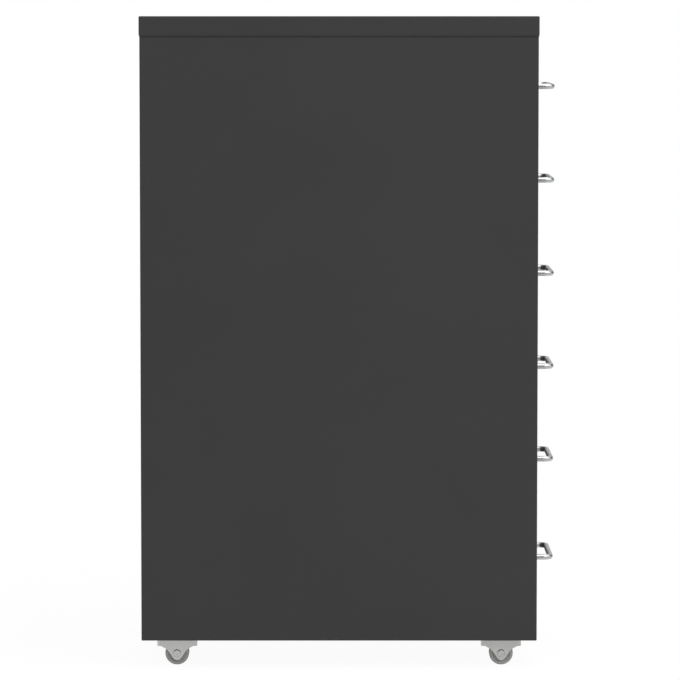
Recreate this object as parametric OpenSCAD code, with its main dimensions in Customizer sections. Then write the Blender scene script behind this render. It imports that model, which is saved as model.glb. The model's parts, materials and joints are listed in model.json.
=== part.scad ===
// Small sheet-steel cabinet with six drawers on four fixed castors.
// Millimetres. +Z is up, the drawer fronts face -Y, and the origin is on the floor,
// under the middle of the whole object, the handles included.

/* [Case] */
// Width of the case, side to side
case_w = 280; // [240:1:420]
// Depth of the case, from the drawer fronts to the back
case_d = 415; // [340:1:600]
// Height of the case, from its lower edge to the top of the cover
case_h = 654; // [560:1:760]
// Sheet thickness of the side panels, the back, the rails and the cover
sheet = 0.7; // [0.6:0.1:1.2]
// Height of the turned-down skirt of the top cover
cover_skirt = 21; // [15:1:23]
// Height of the zone above the first drawer, the cover included
head_h = 24.5; // [24:0.5:45]
// Height of the zone below the last drawer
sill_h = 20; // [16:1:45]
// Width of the two front stiles beside the drawers
stile_w = 14; // [12:1:24]

/* [Drawers] */
// How much taller the lowest drawer is than the others
lowest_extra = 12.5; // [0:0.5:60]
// Visible gap between drawer fronts, and above and below them
front_gap = 2.5; // [1.5:0.1:4]
// Visible gap between a drawer front and a stile
side_gap = 1.5; // [1:0.1:3]
// Sheet thickness of the drawer fronts
front_sheet = 0.8; // [0.6:0.1:1.2]
// Sheet thickness of the drawer trays
tray_sheet = 0.7; // [0.6:0.1:1]
// Space between a closed tray and the back panel
tray_gap = 28.6; // [20:0.1:90]
// Height of a drawer front that stays above the tray's hanging flanges
tray_drop = 12; // [10:0.5:18]
// Length of a tray that stays inside when its stops meet
tray_stay = 85; // [60:1:160]

/* [Handles] */
// Diameter of the round bar
bar_d = 6; // [5:0.5:8]
// Distance between the centres of the two legs
leg_pitch = 96; // [64:1:160]
// Reach of the handle in front of the drawer front
reach = 22; // [20:0.5:35]
// Radius of the bends on the bar's centreline
bar_bend = 7.5; // [6:0.5:8]

/* [Castors] */
// Diameter of the wheel
wheel_d = 25; // [22:1:25]
// Width of the wheel's tread
wheel_w = 13; // [10:0.5:16]
// Height of the castor, from the floor to the case
castor_h = 29; // [29:1:40]
// Length of the housing, front to back
housing_l = 42; // [40:1:50]
// Height of the housing's straight rim
housing_rim = 9.5; // [7:0.5:10]
// Distance from a castor's middle to the side of the case
castor_side = 29; // [25:1:60]
// Distance from a castor's middle to the front or back of the case
castor_end = 36.5; // [36:0.5:80]

/* [Hidden] */
$fn = 64;
DRAWERS = [1:6];
LOWEST = 6;
SIDES = [["left", -1], ["right", 1]];
CORNERS = [["fl", -1, -1], ["fr", 1, -1], ["rl", -1, 1], ["rr", 1, 1]];

// Clearances: welded and screwed pieces touch, sliding and turning ones don't.
slide_gap = 0.1;  // tray flange to runner lip, up and down
side_play = 0.6;  // tray flange to runner web, and tray wall to runner lip
stop_gap = 0.2;  // between the two stops when the drawer is fully out
shank_gap = 0.05;  // screw or rivet shank to its hole, on the radius
run_gap = 0.08;  // wheel bore to the rivet, on the radius
hub_gap = 0.15;  // wheel hub to each side of the housing
fork_gap = 0.8;  // wheel tread to each side of the housing
head_gap = 0.3;  // castor screw's head to the housing's rim
base_gap = 1;  // base pan's flanges to the folds behind the stiles
lug_gap = 1;  // stop lug to the edge of the runner's lip
over = 1;  // how far shapes overshoot where they cut or join

// Planes of the case
depth_all = reach + case_d + sheet;
y_front = reach - depth_all / 2;
y_back = y_front + case_d;
x_side = case_w / 2;
z_case = castor_h;
z_top = z_case + case_h;
z_lid = z_top - sheet;
z_base = z_case + sheet;  // underside of the base pan, on the side panels' folds

// Sheet work
bend = 0.6;  // inner radius of the bends in the case and the drawers
fold_r = sheet + bend;  // outer radius of the bends in the case
stile_return = 24;  // depth of the fold behind each stile
skirt_bevel = 0.45;  // how far the skirt's lower edge draws in
skirt_bevel_h = 2.5;  // over this height
step_in = 0.6;  // how far a side panel steps in under the cover's skirt
step_gap = 0.5;  // from the skirt's lower edge down to the step
step_slope = 0.3;  // height of the step's sloping edge
base_sheet = 1;  // thicker sheet that carries the castors
base_flange = 16;
rail_lip = 12;
post_sheet = 1;
post_flange = 11;
post_web = 24;
x_stile = x_side - stile_w;
y_wall = y_back - 2 * sheet;  // inner face of the back panel
z_step = z_top - cover_skirt - step_gap;  // where a side panel's face has stepped in

// Runners: channels that the trays hang in
runner_sheet = 1;
runner_h = 10;
runner_start = 16;  // behind the drawer front, clear of its folds
runner_end = 8;  // in front of the back panel
runner_lip = 8.3;
stop_drop = 4.9;  // how far the runner's stop hangs into the channel
lug_h = 4.5;  // height of the stop on the tray's flange
stop_t = 1;
buffer_l = 8;

// Drawers
tray_l = y_wall - y_front - tray_gap;
travel = tray_l - tray_stay;
front_fold = 15;
front_w = 2 * (x_stile - side_gap);
tray_half = x_stile - runner_lip - side_play;
flange_w = runner_lip - runner_sheet;
flange_start = runner_start + stop_t;
pitch = (case_h - head_h - sill_h - lowest_extra) / LOWEST;

// Screws, M4 pan head
screw_r = 2;  // of their holes and bores
screw_head_r = 3.8;
screw_head_h = 2.4;
screw_head_side = 1.4;  // height of the head's straight side
screw_crown_r = 2.7;  // radius of the head's flat top
screw_tip = 1;  // castor screw past its nut
recess_w = 1;
recess_l = 4.4;
recess_deep = 1.3;
handle_screw_in = 8;  // length of screw inside the handle's leg
handle_bore = 10;
nut_flats = 7;
nut_h = 3.2;

// Castors
housing_sheet = 1.6;
housing_w = wheel_w + 2 * fork_gap + 2 * housing_sheet;
axle_z = wheel_d / 2;
axle_r = 2.5;
rivet_head_r = 4.2;
rivet_face_r = 3.4;  // the head draws in to this
rivet_head_h = 1.4;
rivet_dimple_r = 1.7;
rivet_dimple = 0.7;
ear_tip_r = 4.8;  // round end of the ear below the axle
ear_tip_drop = 2.4;  // its centre below the axle
ear_inset = 4;  // from the housing's end to the ear's shoulder
ear_slope = 3;  // fall of the shoulder
ear_in = 1;  // from the wheel's edge in to the ear's waist
ear_waist = wheel_d / 2 - ear_in;  // half width below the shoulders
ear_cut = 2;  // cut corner under the waist
ear_foot = 4.1;  // half width where the sides meet the round end
ear_foot_drop = 2.4;  // below the round end's centre
rim_corner = 3;  // corner radius of the rim, seen from above
bead_w = 0.8;
bead_in = 0.5;
hub_r = 5;
rim = 3.2;
tread_round = 1.5;
web_in = 1;  // from the tread's sides in to the wheel's disc
castor_screw_y = housing_l / 2 - housing_sheet - screw_head_r - head_gap;

// Heights of the drawers, counted from the top down
function cell_h(i) = i == LOWEST ? pitch + lowest_extra : pitch;
function front_top(i) = z_top - head_h - (i - 1) * pitch - front_gap / 2;
function front_h(i) = cell_h(i) - front_gap;
function front_low(i) = front_top(i) - front_h(i);
function front_mid(i) = front_top(i) - front_h(i) / 2;
function flange_top(i) = front_top(i) - tray_drop;
function flange_low(i) = flange_top(i) - tray_sheet;
function tray_low(i) = front_low(i) + front_sheet + bend;
function runner_low(i) = flange_low(i) - slide_gap - runner_sheet;

case_grey = "#404244";
zinc = "#a5a6a8";
chrome = "#d5d7da";
rubber = "#1c1c1c";
wheel_grey = "#8b8d90";

// ---------- helpers ----------

// Extrudes a profile drawn in X and Z along Y, from y0 to y1.
module along_y(y0, y1)
    translate([0, y1, 0])
        rotate([90, 0, 0])
            linear_extrude(y1 - y0)
                children();

// Extrudes a profile drawn in Y and Z along X, from x0 to x1.
module along_x(x0, x1)
    translate([x0, 0, 0])
        rotate([90, 0, 90])
            linear_extrude(x1 - x0)
                children();

// A box between two corners.
module block(a, b)
    translate(a)
        cube(b - a);

// The quarter ring of a bend, from the end of a strip towards +y.
module bend_ring(t, r)
    translate([0, t + r])
        intersection() {
            difference() {
                circle(r + t);
                circle(r);
            }
            translate([0, -(r + t)])
                square(r + t);
        }

// Edge view of a folded sheet. It starts at the origin, runs along +x and is t thick
// towards +y. sizes are the outside sizes of its legs, and turns are the right-angle
// bends between them: 1 to the left, -1 to the right.
module folded(sizes, turns, t, r, i = 0) {
    ends = (i > 0 ? 1 : 0) + (i < len(turns) ? 1 : 0);
    flat = sizes[i] - ends * (t + r);
    square([flat, t]);
    if (i < len(turns))
        translate([flat, turns[i] > 0 ? 0 : t])
            mirror([0, turns[i] > 0 ? 0 : 1])
                bend_ring(t, r);
    if (i < len(turns))
        translate(turns[i] > 0 ? [flat + t + r, t + r] : [flat + r, -r])
            rotate(90 * turns[i])
                folded(sizes, turns, t, r, i + 1);
}

// Rectangle about the origin with round corners.
module round_rect(w, l, r) {
    square([w - 2 * r, l], center = true);
    square([w, l - 2 * r], center = true);
    for (x = [-1, 1], y = [-1, 1])
        translate([x * (w / 2 - r), y * (l / 2 - r)])
            circle(r);
}

// A rectangle w wide that hangs down from y = 0 by d. Its upper corners are round, and
// its lower ones may draw in by bevel over bevel_h.
module crowned(w, d, r, bevel = 0, bevel_h = 0) {
    polygon([
        [-w / 2 + bevel, -d],
        [w / 2 - bevel, -d],
        [w / 2, bevel_h - d],
        [w / 2, -r],
        [-w / 2, -r],
        [-w / 2, bevel_h - d]
    ]);
    translate([r - w / 2, -r])
        square([w - 2 * r, r]);
    for (s = [-1, 1])
        translate([s * (w / 2 - r), -r])
            circle(r);
}

// A block with its upper edges and its corners round, as a folded pan has.
module crowned_block(w, l, d, r, bevel = 0, bevel_h = 0)
    intersection() {
        along_y(-l / 2, l / 2)
            crowned(w, d, r, bevel, bevel_h);
        along_x(-w / 2, w / 2)
            crowned(l, d, r, bevel, bevel_h);
        translate([0, 0, -d])
            linear_extrude(d)
                round_rect(w, l, r);
    }

// A pan of sheet t, face up at z = 0, with its four sides folded down by d.
module pan(w, l, d, t, bevel = 0, bevel_h = 0)
    difference() {
        crowned_block(w, l, d, t + bend, bevel, bevel_h);
        translate([0, 0, -t])
            crowned_block(w - 2 * t, l - 2 * t, d, bend);
    }

// A pan-head screw with a cross recess. The head's seat is at z = 0 and the shank
// runs down from it.
module screw(shank_l) {
    difference() {
        union() {
            translate([0, 0, -shank_l])
                cylinder(r = screw_r - shank_gap, h = shank_l + screw_head_h / 2);
            cylinder(r = screw_head_r, h = screw_head_side);
            translate([0, 0, screw_head_side])
                cylinder(r1 = screw_head_r, r2 = screw_crown_r, h = screw_head_h - screw_head_side);
        }
        for (a = [0, 90])
            rotate(a)
                translate([-recess_l / 2, -recess_w / 2, screw_head_h - recess_deep])
                    cube([recess_l, recess_w, recess_deep + over]);
    }
}

// Places its children at the two legs of a drawer's handle, turned so that +Z
// points into the drawer.
module at_legs(i)
    for (s = [-1, 1])
        translate([s * leg_pitch / 2, y_front, front_mid(i)])
            rotate([-90, 0, 0])
                children();

// Holes for the screws of a handle, through the front and the tray's wall.
module leg_holes(i)
    at_legs(i)
        translate([0, 0, -over])
            cylinder(r = screw_r, h = front_sheet + tray_sheet + 2 * over);

// Places its children at the middle of a castor, on the floor.
module at_castor(c)
    translate([
        c[1] * (x_side - castor_side),
        c[2] < 0 ? y_front + castor_end : y_back - castor_end,
        0
    ])
        children();

// ---------- case ----------

// Side panel: a shallow pan, folded in on its four sides, whose front fold is the stile
// and turns back once more. Its face steps in under the cover's skirt.
module side_panel(s)
    color(case_grey)
        mirror([s > 0 ? 1 : 0, 0, 0]) {
            difference() {
                translate([-x_side, (y_front + y_back) / 2, (z_case + z_lid) / 2])
                    rotate([0, -90, 0])
                        pan(z_lid - z_case, case_d, stile_w, sheet);
                block(
                    [-x_stile - 2 * fold_r, y_front - over, z_case + fold_r],
                    [-x_stile + over, y_front + sheet + over, z_lid - fold_r]
                );
                along_y(y_front - over, y_back + over)
                    polygon([
                        [-x_side - over, z_step - step_slope],
                        [-x_side, z_step - step_slope],
                        [-x_side + step_in, z_step],
                        [-x_side + step_in, z_lid + over],
                        [-x_side - over, z_lid + over]
                    ]);
            }
            block(
                [-x_side + step_in, y_front + sheet / 2, z_step - step_slope - sheet],
                [-x_side + step_in + sheet, y_back - sheet / 2, z_lid - sheet / 2]
            );
            translate([-x_side + fold_r, y_front, z_case + fold_r])
                linear_extrude(z_lid - z_case - 2 * fold_r)
                    folded([stile_w - fold_r, stile_return], [1], sheet, bend);
        }

// Flat back, held behind the rear flanges of the side panels.
module back_panel()
    color(case_grey)
        block(
            [fold_r - x_side, y_wall, z_case + fold_r],
            [x_side - fold_r, y_wall + sheet, z_lid - fold_r]
        );

module top_cover()
    color(case_grey)
        translate([0, (y_front + y_back) / 2, z_top])
            pan(case_w + 2 * sheet, case_d + 2 * sheet, cover_skirt, sheet, skirt_bevel, skirt_bevel_h);

// Floor of the case: a channel between the side panels, with a tongue between the stiles.
module base_pan()
    color(case_grey)
        difference() {
            union() {
                along_y(y_front + stile_return + base_gap, y_wall)
                    translate([sheet - x_side, z_base + base_flange])
                        rotate(-90)
                            folded(
                                [base_flange, case_w - 2 * sheet, base_flange],
                                [1, 1], base_sheet, bend
                            );
                block(
                    [-x_stile, y_front + fold_r, z_base],
                    [x_stile, y_front + stile_return + base_gap + over, z_base + base_sheet]
                );
            }
            for (c = CORNERS)
                at_castor(c)
                    castor_screw_holes();
        }

// Cross rail between the stiles, open to the rear.
module rail(z0, z1)
    color(case_grey)
        along_x(-x_stile, x_stile)
            translate([y_front + rail_lip, z1])
                rotate(180)
                    folded([rail_lip, z1 - z0, rail_lip], [1, 1], sheet, bend);

module top_rail()
    rail(front_top(1) + front_gap, z_lid);

module bottom_rail()
    rail(z_case, front_low(LOWEST) - front_gap);

// Upright that carries the rear ends of the runners.
module rear_post(s)
    color(zinc)
        mirror([s > 0 ? 1 : 0, 0, 0])
            translate([-x_stile - post_flange, y_wall, z_base + base_sheet])
                linear_extrude(z_lid - sheet - z_base - base_sheet)
                    mirror([0, 1])
                        folded([post_flange, post_web], [1], post_sheet, bend);

// Channel in which one side of a tray hangs, with a stop at its front end.
module runner(i, s)
    color(zinc)
        mirror([s > 0 ? 1 : 0, 0, 0]) {
            along_y(y_front + runner_start, y_wall - runner_end)
                translate([runner_lip - x_stile, runner_low(i) + runner_h])
                    rotate(180)
                        folded([runner_lip, runner_h, runner_lip], [1, 1], runner_sheet, bend);
            block(
                [runner_sheet / 2 - x_stile, y_front + runner_start,
                    runner_low(i) + runner_h - runner_sheet - stop_drop],
                [runner_lip - x_stile, y_front + runner_start + stop_t,
                    runner_low(i) + runner_h - runner_sheet / 2]
            );
        }

// Rubber buffers in the rear ends of the runners, which the closed trays meet.
module runner_buffers()
    color(rubber)
        for (i = DRAWERS, s = [-1, 1])
            mirror([s > 0 ? 1 : 0, 0, 0])
                block(
                    [runner_sheet + bend - x_stile, y_front + tray_l + slide_gap,
                        runner_low(i) + runner_sheet],
                    [runner_lip - x_stile, y_front + tray_l + slide_gap + buffer_l,
                        runner_low(i) + runner_h - runner_sheet]
                );

// ---------- drawers ----------

module drawer_front(i)
    color(case_grey)
        difference() {
            translate([0, y_front, front_mid(i)])
                rotate([90, 0, 0])
                    pan(front_w, front_h(i), front_fold, front_sheet);
            leg_holes(i);
        }

// Folded tray with flanges that hang in the runners and a stop lug on each flange.
module drawer_tray(i)
    color(zinc)
        difference() {
            union() {
                along_y(y_front + front_sheet, y_front + tray_l)
                    translate([-tray_half - flange_w, flange_low(i)])
                        folded(
                            [
                                flange_w + tray_sheet,
                                flange_top(i) - tray_low(i),
                                2 * tray_half,
                                flange_top(i) - tray_low(i),
                                flange_w + tray_sheet
                            ],
                            [-1, 1, 1, -1], tray_sheet, bend
                        );
                tray_wall(i, y_front + front_sheet);
                tray_wall(i, y_front + tray_l - tray_sheet);
                for (s = [0, 1])
                    mirror([s, 0, 0])
                        stop_lug(i);
            }
            for (s = [0, 1])
                mirror([s, 0, 0])
                    block(
                        [-tray_half - flange_w - over, y_front, flange_low(i) - bend - over],
                        [-tray_half, y_front + flange_start, flange_top(i) + over]
                    );
            leg_holes(i);
        }

// Front or rear wall of a tray.
module tray_wall(i, y)
    block(
        [tray_sheet / 2 - tray_half, y, tray_low(i) + tray_sheet / 2],
        [tray_half - tray_sheet / 2, y + tray_sheet, flange_top(i) - tray_sheet - bend]
    );

// Lug on the left flange that meets the runner's stop when the drawer is fully out.
module stop_lug(i)
    block(
        [-tray_half - flange_w, y_front + runner_start + stop_t + stop_gap + travel,
            flange_low(i)],
        [-tray_half - side_play - lug_gap, y_front + runner_start + 2 * stop_t + stop_gap + travel,
            flange_top(i) + lug_h]
    );

// Bow handle of round bar, tapped at the end of each leg.
module handle(i)
    color(chrome)
        difference() {
            translate([0, y_front, front_mid(i)]) {
                for (s = [0, 1])
                    mirror([s, 0, 0]) {
                        translate([leg_pitch / 2, 0, 0])
                            rotate([90, 0, 0])
                                cylinder(d = bar_d, h = reach - bar_d / 2 - bar_bend);
                        translate([leg_pitch / 2 - bar_bend, bar_d / 2 + bar_bend - reach, 0])
                            rotate(-90)
                                rotate_extrude(angle = 90)
                                    translate([bar_bend, 0])
                                        circle(d = bar_d);
                    }
                translate([0, bar_d / 2 - reach, 0])
                    rotate([0, 90, 0])
                        cylinder(d = bar_d, h = leg_pitch - 2 * bar_bend, center = true);
            }
            at_legs(i)
                translate([0, 0, -handle_bore])
                    cylinder(r = screw_r, h = handle_bore + over);
        }

module handle_screws(i)
    color(zinc)
        at_legs(i)
            translate([0, 0, front_sheet + tray_sheet])
                screw(front_sheet + tray_sheet + handle_screw_in);

// ---------- castors ----------

// Side view of a housing's ear: sloping shoulders under the rim, and straight sides
// that run in to a round tip below the axle.
module ear_outline() {
    rim_z = z_base - housing_rim;
    tip_z = axle_z - ear_tip_drop;
    shoulder = housing_l / 2 - ear_inset;
    half = [
        [shoulder, rim_z + over],
        [shoulder, rim_z],
        [ear_waist, rim_z - ear_slope],
        [ear_waist - ear_cut, rim_z - ear_slope - ear_cut],
        [ear_foot, tip_z - ear_foot_drop]
    ];
    polygon(concat(half, [for (k = [len(half) - 1:-1:0]) [-half[k][0], half[k][1]]]));
    translate([0, tip_z])
        circle(ear_tip_r);
}

module castor_screw_holes()
    for (s = [-1, 1])
        translate([0, s * castor_screw_y, z_base])
            cylinder(r = screw_r, h = 2 * (housing_sheet + over), center = true);

// Pressed housing: a plate with a rim all round, a bead under the plate, and an ear on
// each side of the wheel.
module castor_housing(c)
    color(zinc)
        at_castor(c)
            difference() {
                union() {
                    translate([0, 0, z_base - housing_rim])
                        linear_extrude(housing_rim)
                            round_rect(housing_w, housing_l, rim_corner);
                    along_x(-housing_w / 2, housing_w / 2)
                        ear_outline();
                }
                translate([0, 0, z_base - housing_sheet - bead_w])
                    linear_extrude(bead_w)
                        difference() {
                            square([2 * housing_w, 2 * housing_l], center = true);
                            round_rect(
                                housing_w - 2 * bead_in,
                                housing_l - 2 * bead_in,
                                rim_corner - bead_in
                            );
                        }
                translate([0, 0, -over])
                    linear_extrude(z_base - housing_sheet + over)
                        round_rect(
                            housing_w - 2 * housing_sheet,
                            housing_l - 2 * housing_sheet,
                            rim_corner - housing_sheet
                        );
                translate([0, 0, axle_z])
                    rotate([0, 90, 0])
                        cylinder(r = axle_r + shank_gap, h = housing_w + 2 * over, center = true);
                castor_screw_holes();
            }

// Half section of the wheel, radius along x.
module wheel_section()
    difference() {
        union() {
            translate([0, hub_gap + housing_sheet - housing_w / 2])
                square([hub_r, housing_w - 2 * housing_sheet - 2 * hub_gap]);
            translate([0, web_in - wheel_w / 2])
                square([wheel_d / 2 - tread_round, wheel_w - 2 * web_in]);
            translate([wheel_d / 2 - rim, -wheel_w / 2])
                square([rim - tread_round, wheel_w]);
            translate([wheel_d / 2 - tread_round - over, tread_round - wheel_w / 2])
                square([tread_round + over, wheel_w - 2 * tread_round]);
            for (s = [-1, 1])
                translate([wheel_d / 2 - tread_round, s * (wheel_w / 2 - tread_round)])
                    circle(tread_round);
        }
        translate([-over, -housing_w])
            square([over + axle_r + run_gap, 2 * housing_w]);
    }

module castor_wheel(c)
    color(wheel_grey)
        at_castor(c)
            translate([0, 0, axle_z])
                rotate([0, 90, 0])
                    rotate_extrude()
                        wheel_section();

// Rivet that is the wheel's axle, with a dimpled head on each side.
module castor_rivet(c)
    color(zinc)
        at_castor(c)
            translate([0, 0, axle_z])
                rotate([0, 90, 0])
                    difference() {
                        union() {
                            cylinder(r = axle_r, h = housing_w + rivet_head_h, center = true);
                            for (a = [0, 180])
                                rotate([a, 0, 0])
                                    translate([0, 0, housing_w / 2])
                                        cylinder(rivet_head_h, rivet_head_r, rivet_face_r);
                        }
                        for (s = [-1, 1])
                            translate([0, 0, s * (housing_w / 2 + rivet_head_h)])
                                cylinder(r = rivet_dimple_r, h = 2 * rivet_dimple, center = true);
                    }

// Two screws a castor, up through the housing and the base pan.
module castor_screws()
    color(zinc)
        for (c = CORNERS, s = [-1, 1])
            at_castor(c)
                translate([0, s * castor_screw_y, z_base - housing_sheet])
                    rotate([180, 0, 0])
                        screw(housing_sheet + base_sheet + nut_h + screw_tip);

module castor_nuts()
    color(zinc)
        for (c = CORNERS, s = [-1, 1])
            at_castor(c)
                translate([0, s * castor_screw_y, z_base + base_sheet])
                    difference() {
                        cylinder(d = nut_flats / cos(30), h = nut_h, $fn = 6);
                        translate([0, 0, -over])
                            cylinder(r = screw_r, h = nut_h + 2 * over);
                    }

// ---------- what is drawn ----------

side_panel(-1);  // left_side_panel
side_panel(1);  // right_side_panel
back_panel();
top_cover();
base_pan();
top_rail();
bottom_rail();
rear_post(-1);  // left_rear_post
rear_post(1);  // right_rear_post
runner_buffers();
for (i = DRAWERS, s = SIDES)
    runner(i, s[1]);
for (i = DRAWERS) {
    drawer_front(i);
    drawer_tray(i);
    handle(i);
    handle_screws(i);
}
for (c = CORNERS) {
    castor_housing(c);
    castor_wheel(c);
    castor_rivet(c);
}
castor_screws();
castor_nuts();
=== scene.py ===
import json
from math import radians

import bpy
from mathutils import Euler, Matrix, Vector

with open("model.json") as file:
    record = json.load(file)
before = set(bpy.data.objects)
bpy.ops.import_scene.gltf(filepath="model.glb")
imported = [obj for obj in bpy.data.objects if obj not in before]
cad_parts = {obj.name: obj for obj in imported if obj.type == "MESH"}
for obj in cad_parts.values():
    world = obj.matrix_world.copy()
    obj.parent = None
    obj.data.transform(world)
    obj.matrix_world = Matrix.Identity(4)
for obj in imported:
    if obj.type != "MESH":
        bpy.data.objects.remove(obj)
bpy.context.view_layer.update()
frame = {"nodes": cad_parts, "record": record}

MM = 0.001
WHITE = (1.0, 1.0, 1.0, 1.0)


# ---------- helpers ----------

def linear(colour):
    """The linear RGBA of an sRGB hex colour."""
    channels = []
    for start in (1, 3, 5):
        value = int(colour[start:start + 2], 16) / 255
        channels.append(value / 12.92 if value <= 0.04045 else ((value + 0.055) / 1.055) ** 2.4)
    return (*channels, 1.0)


def per(size_mm):
    """The scale that makes a pattern's cells this many millimetres wide."""
    return 1 / (size_mm * MM)


def add(tree, kind, links=None, **settings):
    """Adds a node, sets its fields, and gives each input a value or another node's output."""
    node = tree.nodes.new(kind)
    for field, value in settings.items():
        setattr(node, field, value)
    for name, value in (links or {}).items():
        if isinstance(value, bpy.types.NodeSocket):
            tree.links.new(value, node.inputs[name])
        else:
            node.inputs[name].default_value = value
    return node


def new_material(name):
    """An empty material, its tree, and the coordinates that stay with the piece."""
    material = bpy.data.materials.new(name)
    material.use_nodes = True
    tree = material.node_tree
    tree.nodes.clear()
    return material, tree, add(tree, "ShaderNodeTexCoord").outputs["Object"]


# ---------- finishes ----------

def powder_coat(name, dark, light, grain_mm, grain_deep_mm, roughness):
    """Steel sheet, sprayed with anthracite polyester powder and baked: an even, dull skin with a
    fine dry grain. The real grain is 0.3 mm, which is too fine to show, so it is drawn coarser."""
    material, tree, place = new_material(name)
    clouds = add(tree, "ShaderNodeTexNoise",
                 {"Vector": place, "Scale": per(140), "Detail": 2.0})
    grain = add(tree, "ShaderNodeTexNoise",
                {"Vector": place, "Scale": per(grain_mm), "Detail": 3.0})
    both = add(tree, "ShaderNodeMath",
               {0: clouds.outputs[0], 1: grain.outputs[0]}, operation="MULTIPLY")
    # Each pattern lies around 0.5, so the two together lie around 0.25.
    tone = add(tree, "ShaderNodeMapRange",
               {"Value": both.outputs[0], "From Min": 0.12, "From Max": 0.4})
    colour = add(tree, "ShaderNodeMix",
                 {"Factor": tone.outputs[0], "A": linear(dark), "B": linear(light)},
                 data_type="RGBA")
    rough = add(tree, "ShaderNodeMapRange",
                {"Value": grain.outputs[0], "To Min": roughness - 0.06, "To Max": roughness + 0.06})
    bump = add(tree, "ShaderNodeBump",
               {"Height": grain.outputs[0], "Strength": 0.35, "Distance": grain_deep_mm * MM})
    skin = add(tree, "ShaderNodeBsdfPrincipled", {
        "Base Color": colour.outputs["Result"],
        "Roughness": rough.outputs[0],
        "Normal": bump.outputs[0],
        "Specular IOR Level": 0.2,
    })
    add(tree, "ShaderNodeOutputMaterial", {"Surface": skin.outputs[0]})
    return material


def galvanised_sheet():
    """Steel sheet, dipped in molten zinc: dull crystals of 6 to 12 mm, each with its own tone."""
    material, tree, place = new_material("steel_hot_dip_galvanised")
    spangle = add(tree, "ShaderNodeTexVoronoi", {"Vector": place, "Scale": per(9)})
    tone = add(tree, "ShaderNodeRGBToBW", {"Color": spangle.outputs["Color"]})
    colour = add(tree, "ShaderNodeMix",
                 {"Factor": tone.outputs[0], "A": linear("#9a9da0"), "B": linear("#bcbfc1")},
                 data_type="RGBA")
    rough = add(tree, "ShaderNodeMapRange",
                {"Value": tone.outputs[0], "To Min": 0.34, "To Max": 0.52})
    scuffs = add(tree, "ShaderNodeTexNoise",
                 {"Vector": place, "Scale": per(3), "Detail": 4.0})
    bump = add(tree, "ShaderNodeBump",
               {"Height": scuffs.outputs[0], "Strength": 0.2, "Distance": 0.03 * MM})
    metal = add(tree, "ShaderNodeBsdfPrincipled", {
        "Base Color": colour.outputs["Result"],
        "Roughness": rough.outputs[0],
        "Normal": bump.outputs[0],
        "Metallic": 1.0,
    })
    add(tree, "ShaderNodeOutputMaterial", {"Surface": metal.outputs[0]})
    return material


def zinc_plate(name, dark, light, blotch_mm, smoothest, roughest):
    """A steel pressing or screw, electroplated with zinc: pale grey metal with the faint blotches
    that the passivation bath leaves."""
    material, tree, place = new_material(name)
    blotch = add(tree, "ShaderNodeTexNoise",
                 {"Vector": place, "Scale": per(blotch_mm), "Detail": 3.0})
    colour = add(tree, "ShaderNodeMix",
                 {"Factor": blotch.outputs[0], "A": linear(dark), "B": linear(light)},
                 data_type="RGBA")
    rough = add(tree, "ShaderNodeMapRange",
                {"Value": blotch.outputs[0], "To Min": smoothest, "To Max": roughest})
    tooth = add(tree, "ShaderNodeTexNoise",
                {"Vector": place, "Scale": per(0.8), "Detail": 2.0})
    bump = add(tree, "ShaderNodeBump",
               {"Height": tooth.outputs[0], "Strength": 0.25, "Distance": 0.03 * MM})
    metal = add(tree, "ShaderNodeBsdfPrincipled", {
        "Base Color": colour.outputs["Result"],
        "Roughness": rough.outputs[0],
        "Normal": bump.outputs[0],
        "Metallic": 1.0,
    })
    add(tree, "ShaderNodeOutputMaterial", {"Surface": metal.outputs[0]})
    return material


def chrome_plate():
    """Drawn steel bar, nickel and chrome plated: a soft mirror, because the drawing marks show
    through the plating."""
    material, tree, place = new_material("steel_bar_chrome_plated")
    marks = add(tree, "ShaderNodeTexNoise",
                {"Vector": place, "Scale": per(2.5), "Detail": 4.0})
    colour = add(tree, "ShaderNodeMix",
                 {"Factor": marks.outputs[0], "A": linear("#b6b7b9"), "B": linear("#c2c3c5")},
                 data_type="RGBA")
    rough = add(tree, "ShaderNodeMapRange",
                {"Value": marks.outputs[0], "To Min": 0.3, "To Max": 0.38})
    bump = add(tree, "ShaderNodeBump",
               {"Height": marks.outputs[0], "Strength": 0.08, "Distance": 0.01 * MM})
    metal = add(tree, "ShaderNodeBsdfPrincipled", {
        "Base Color": colour.outputs["Result"],
        "Roughness": rough.outputs[0],
        "Normal": bump.outputs[0],
        "Metallic": 1.0,
    })
    add(tree, "ShaderNodeOutputMaterial", {"Surface": metal.outputs[0]})
    return material


def moulded(name, dark, light, grain_mm, smoothest, roughest, grain_strength):
    """Moulded polypropylene or rubber: one colour all through, with the satin to dull skin that
    the mould leaves."""
    material, tree, place = new_material(name)
    flow = add(tree, "ShaderNodeTexNoise",
               {"Vector": place, "Scale": per(11), "Detail": 2.0})
    grain = add(tree, "ShaderNodeTexNoise",
                {"Vector": place, "Scale": per(grain_mm), "Detail": 3.0})
    colour = add(tree, "ShaderNodeMix",
                 {"Factor": flow.outputs[0], "A": linear(dark), "B": linear(light)},
                 data_type="RGBA")
    rough = add(tree, "ShaderNodeMapRange",
                {"Value": grain.outputs[0], "To Min": smoothest, "To Max": roughest})
    bump = add(tree, "ShaderNodeBump",
               {"Height": grain.outputs[0], "Strength": grain_strength, "Distance": 0.05 * MM})
    skin = add(tree, "ShaderNodeBsdfPrincipled", {
        "Base Color": colour.outputs["Result"],
        "Roughness": rough.outputs[0],
        "Normal": bump.outputs[0],
    })
    add(tree, "ShaderNodeOutputMaterial", {"Surface": skin.outputs[0]})
    return material


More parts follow.
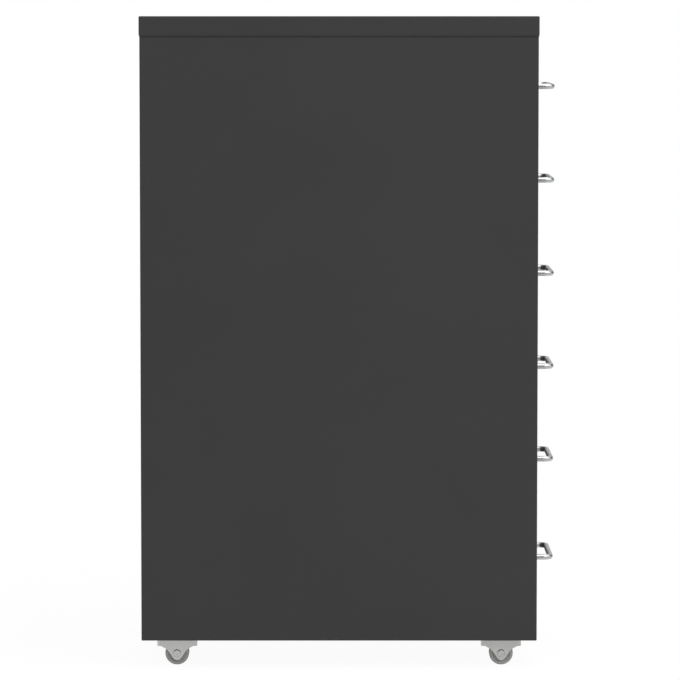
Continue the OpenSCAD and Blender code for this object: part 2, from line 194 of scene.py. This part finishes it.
FINISHES = {
    "case_paint": powder_coat(
        "steel_sheet_powder_coated", dark="#313131", light="#333333",
        grain_mm=1.6, grain_deep_mm=0.05, roughness=0.55),
    "tray_paint": powder_coat(
        "steel_tray_powder_coated", dark="#2e2e2f", light="#343435",
        grain_mm=2.4, grain_deep_mm=0.04, roughness=0.48),
    "galvanised_sheet": galvanised_sheet(),
    "zinc_pressing": zinc_plate(
        "steel_pressing_zinc_plated", dark="#c1c2bf", light="#d2d3d0",
        blotch_mm=7, smoothest=0.36, roughest=0.5),
    "zinc_screw": zinc_plate(
        "steel_screw_bright_zinc", dark="#b3b6ba", light="#c9ccd0",
        blotch_mm=3, smoothest=0.2, roughest=0.32),
    "chrome_plate": chrome_plate(),
    "wheel_plastic": moulded(
        "polypropylene_moulded_grey", dark="#949492", light="#a0a09d",
        grain_mm=1.0, smoothest=0.55, roughest=0.7, grain_strength=0.3),
    "buffer_rubber": moulded(
        "rubber_moulded_black", dark="#161617", light="#202021",
        grain_mm=0.8, smoothest=0.7, roughest=0.9, grain_strength=0.4),
}

for part in frame["record"]["subparts"]:
    slots = frame["nodes"][part["node"]].data.materials
    slots.clear()
    slots.append(FINISHES[part["material_slot"]])


# ---------- studio ----------

def white_to_the_eye(tree):
    """1 for a ray from the camera, off a shiny surface or through a clear one, and 0 for others.
    The first see the studio as pure white."""
    ray = add(tree, "ShaderNodeLightPath")
    seen = add(tree, "ShaderNodeMath",
               {0: ray.outputs["Is Camera Ray"], 1: ray.outputs["Is Glossy Ray"]},
               operation="MAXIMUM")
    return add(tree, "ShaderNodeMath",
               {0: seen.outputs[0], 1: ray.outputs["Is Transmission Ray"]},
               operation="MAXIMUM").outputs[0]


def add_world(ambient):
    """White air that lights the cabinet evenly from all round, at the strength ambient."""
    world = bpy.data.worlds.new("studio_air")
    world.use_nodes = True
    tree = world.node_tree
    tree.nodes.clear()
    strength = add(tree, "ShaderNodeMapRange",
                   {"Value": white_to_the_eye(tree), "To Min": ambient, "To Max": 1.0})
    air = add(tree, "ShaderNodeBackground", {"Color": WHITE, "Strength": strength.outputs[0]})
    add(tree, "ShaderNodeOutputWorld", {"Surface": air.outputs[0]})
    bpy.context.scene.world = world


def add_floor(size, glow, near, far):
    """White paper floor. Part of what the eye sees is glow, so that it reads white and still
    keeps the cabinet's shadow. From near to far the glow grows to all of it, as where a studio's
    paper runs out into the light."""
    bpy.ops.mesh.primitive_plane_add(size=size, location=(0, 0, 0))
    floor = bpy.context.object
    floor.name = "studio_floor"
    material, tree, place = new_material("paper_floor_white")
    fibre = add(tree, "ShaderNodeTexNoise",
                {"Vector": place, "Scale": per(30), "Detail": 3.0})
    tone = add(tree, "ShaderNodeMix",
               {"Factor": fibre.outputs[0], "A": linear("#f1f1f1"), "B": linear("#f5f5f5")},
               data_type="RGBA")
    paper = add(tree, "ShaderNodeBsdfDiffuse", {"Color": tone.outputs["Result"]})
    light = add(tree, "ShaderNodeEmission", {"Color": WHITE, "Strength": 1.0})
    distance = add(tree, "ShaderNodeVectorMath", {0: place}, operation="LENGTH")
    glowing = add(tree, "ShaderNodeMapRange",
                  {"Value": distance.outputs["Value"], "From Min": near, "From Max": far,
                   "To Min": glow, "To Max": 1.0})
    share = add(tree, "ShaderNodeMath",
                {0: white_to_the_eye(tree), 1: glowing.outputs[0]}, operation="MULTIPLY")
    surface = add(tree, "ShaderNodeMixShader",
                  {0: share.outputs[0], 1: paper.outputs[0], 2: light.outputs[0]})
    add(tree, "ShaderNodeOutputMaterial", {"Surface": surface.outputs[0]})
    floor.data.materials.append(material)


def add_flag(name, centre, size, dark, light):
    """A grey card that only reflections see. It gives the chrome its grey bands."""
    bpy.ops.mesh.primitive_cube_add(size=1, location=centre, scale=size)
    card = bpy.context.object
    card.name = "studio_flag_" + name
    material, tree, place = new_material("card_flag_" + name)
    mottle = add(tree, "ShaderNodeTexNoise", {"Vector": place, "Scale": per(200)})
    tone = add(tree, "ShaderNodeMix",
               {"Factor": mottle.outputs[0], "A": linear(dark), "B": linear(light)},
               data_type="RGBA")
    matt = add(tree, "ShaderNodeBsdfDiffuse", {"Color": tone.outputs["Result"]})
    add(tree, "ShaderNodeOutputMaterial", {"Surface": matt.outputs[0]})
    card.data.materials.append(material)
    card.visible_camera = False
    card.visible_diffuse = False
    card.visible_shadow = False
    card.visible_transmission = False


def add_softbox(name, centre, aim, width, power):
    """A square lamp that faces its aim. Its power is in watts."""
    data = bpy.data.lights.new(name, "AREA")
    data.shape = "SQUARE"
    data.size = width
    data.energy = power
    lamp = bpy.data.objects.new(name, data)
    lamp.location = centre
    lamp.rotation_euler = (Vector(aim) - Vector(centre)).to_track_quat("-Z", "Y").to_euler()
    bpy.context.scene.collection.objects.link(lamp)


def add_camera(centre, pan, tilt, lens, shift):
    """pan turns from +X towards +Y and tilt is down, in degrees, and lens is in millimetres."""
    data = bpy.data.cameras.new("photo_view")
    data.lens = lens
    data.shift_y = shift
    data.clip_start, data.clip_end = 0.1, 100
    camera = bpy.data.objects.new("photo_view", data)
    camera.location = centre
    camera.rotation_euler = Euler((radians(90 - tilt), 0, radians(pan - 90)))
    bpy.context.scene.collection.objects.link(camera)
    bpy.context.scene.camera = camera


add_world(ambient=0.6)
add_floor(size=30, glow=0.955, near=0.6, far=3.0)

# The cards stand behind the camera, beyond the cabinet, flat on the floor and before the drawers.
add_flag("pale", (-5, 0, 3.2), size=(0.02, 8, 6.3), dark="#9c9c9c", light="#a4a4a4")
add_flag("white", (5, 0, 3.2), size=(0.02, 8, 6.3), dark="#e8e8e8", light="#eeeeee")
add_flag("low", (-2.2, 0, 0.03), size=(2.6, 6, 0.02), dark="#8c8c8c", light="#949494")
add_flag("dark", (0, -4.4, 2.0), size=(8, 0.02, 3.9), dark="#303030", light="#3a3a3a")

cabinet_middle = (0, 0, 0.35)
add_softbox("softbox_above", (-0.6, -0.4, 3.2), cabinet_middle, width=2.2, power=55)
add_softbox("softbox_side", (-3.0, -1.9, 2.6), cabinet_middle, width=2.2, power=57)
add_softbox("softbox_front", (-1.2, -3.6, 2.0), cabinet_middle, width=2.0, power=38)

# Level with the cover and square to the left side, from 4.2 m
add_camera((-4.19, 0.0097, 0.681), pan=0, tilt=4.23, lens=206.1, shift=-0.05)
bpy.context.scene.view_settings.view_transform = "Standard"
